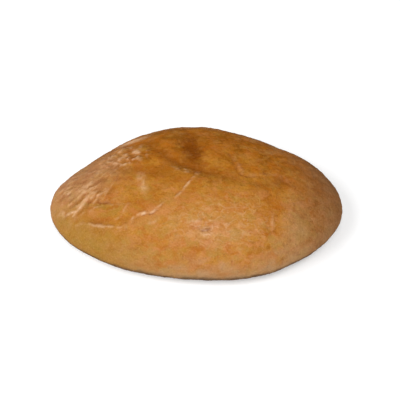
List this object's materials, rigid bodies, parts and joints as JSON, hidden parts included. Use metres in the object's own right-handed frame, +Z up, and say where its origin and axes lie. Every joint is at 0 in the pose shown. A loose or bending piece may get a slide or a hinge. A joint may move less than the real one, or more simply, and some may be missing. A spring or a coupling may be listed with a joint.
{
  "type": "flatbread",
  "caption": "Puffy flatbread: a pointed-oval baked loaf with a domed, wrinkled brown crust and a flat base to rest on.",
  "frame": {"origin": "middle of the loaf's outline, on the plane of its flat base", "axes": "+X along the loaf towards its smoother end, +Y towards the back, +Z up through the crown"},
  "size_m": [0.2406, 0.1452, 0.0511],
  "materials": {
    "crust": "golden brown baked crust with a slight gloss, darker along the crest, paler round the foot"
  },
  "bodies": {
    "root": {"loaf": "crust"}
  },
  "joints": []
}
